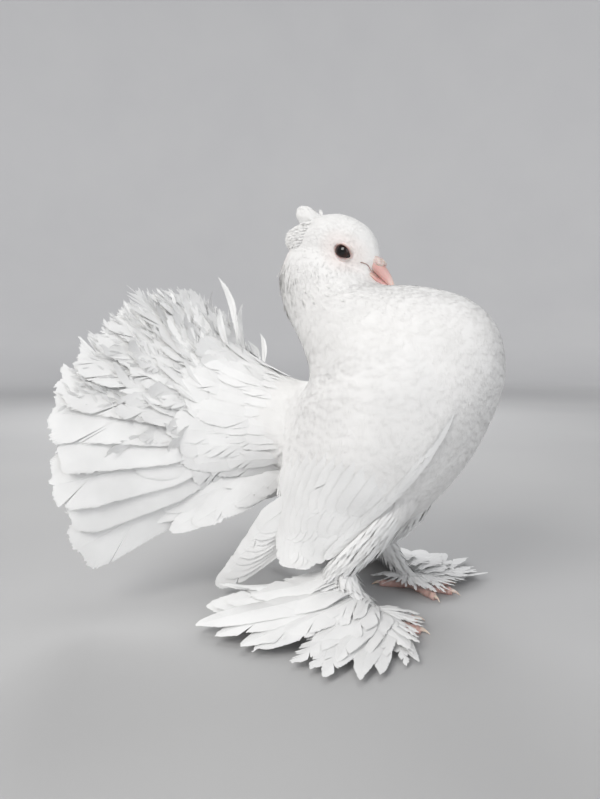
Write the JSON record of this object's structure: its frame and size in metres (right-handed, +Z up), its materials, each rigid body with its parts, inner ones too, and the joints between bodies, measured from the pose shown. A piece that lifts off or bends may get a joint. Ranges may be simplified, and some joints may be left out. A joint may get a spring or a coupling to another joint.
{
  "type": "fantail pigeon",
  "caption": "White crested fantail pigeon, standing life-size display model with a raised breast, fanned tail, drooped wings and feathered feet.",
  "frame": {"origin": "middle of the base of the bird's box, on the floor that the soles rest on", "axes": "+X forward, the way the breast faces, +Y to the bird's left, +Z up"},
  "size_m": [0.2432, 0.2256, 0.2529],
  "materials": {
    "plumage": "soft matt white feathers with a slight sheen along the vanes",
    "eye": "wet glossy, nearly black brown",
    "lid_skin": "bare pale pinkish skin",
    "bill_horn": "smooth flesh-pink horn, paler at the tip",
    "cere_wax": "powdery pale pink-grey cere"
  },
  "bodies": {
    "root": {"torso": "plumage", "neck": "plumage", "head": "plumage", "tail_base": "plumage", "tail_right": "plumage", "tail_centre": "plumage", "tail_left": "plumage", "wing_right": "plumage", "wing_left": "plumage", "leg_right": "plumage", "leg_left": "plumage", "foot_right": "plumage", "foot_left": "plumage", "eye_right": "eye", "eye_left": "eye", "eyelids_right": "lid_skin", "eyelids_left": "lid_skin", "bill_upper": "bill_horn", "bill_lower": "bill_horn", "cere": "cere_wax"}
  },
  "joints": []
}
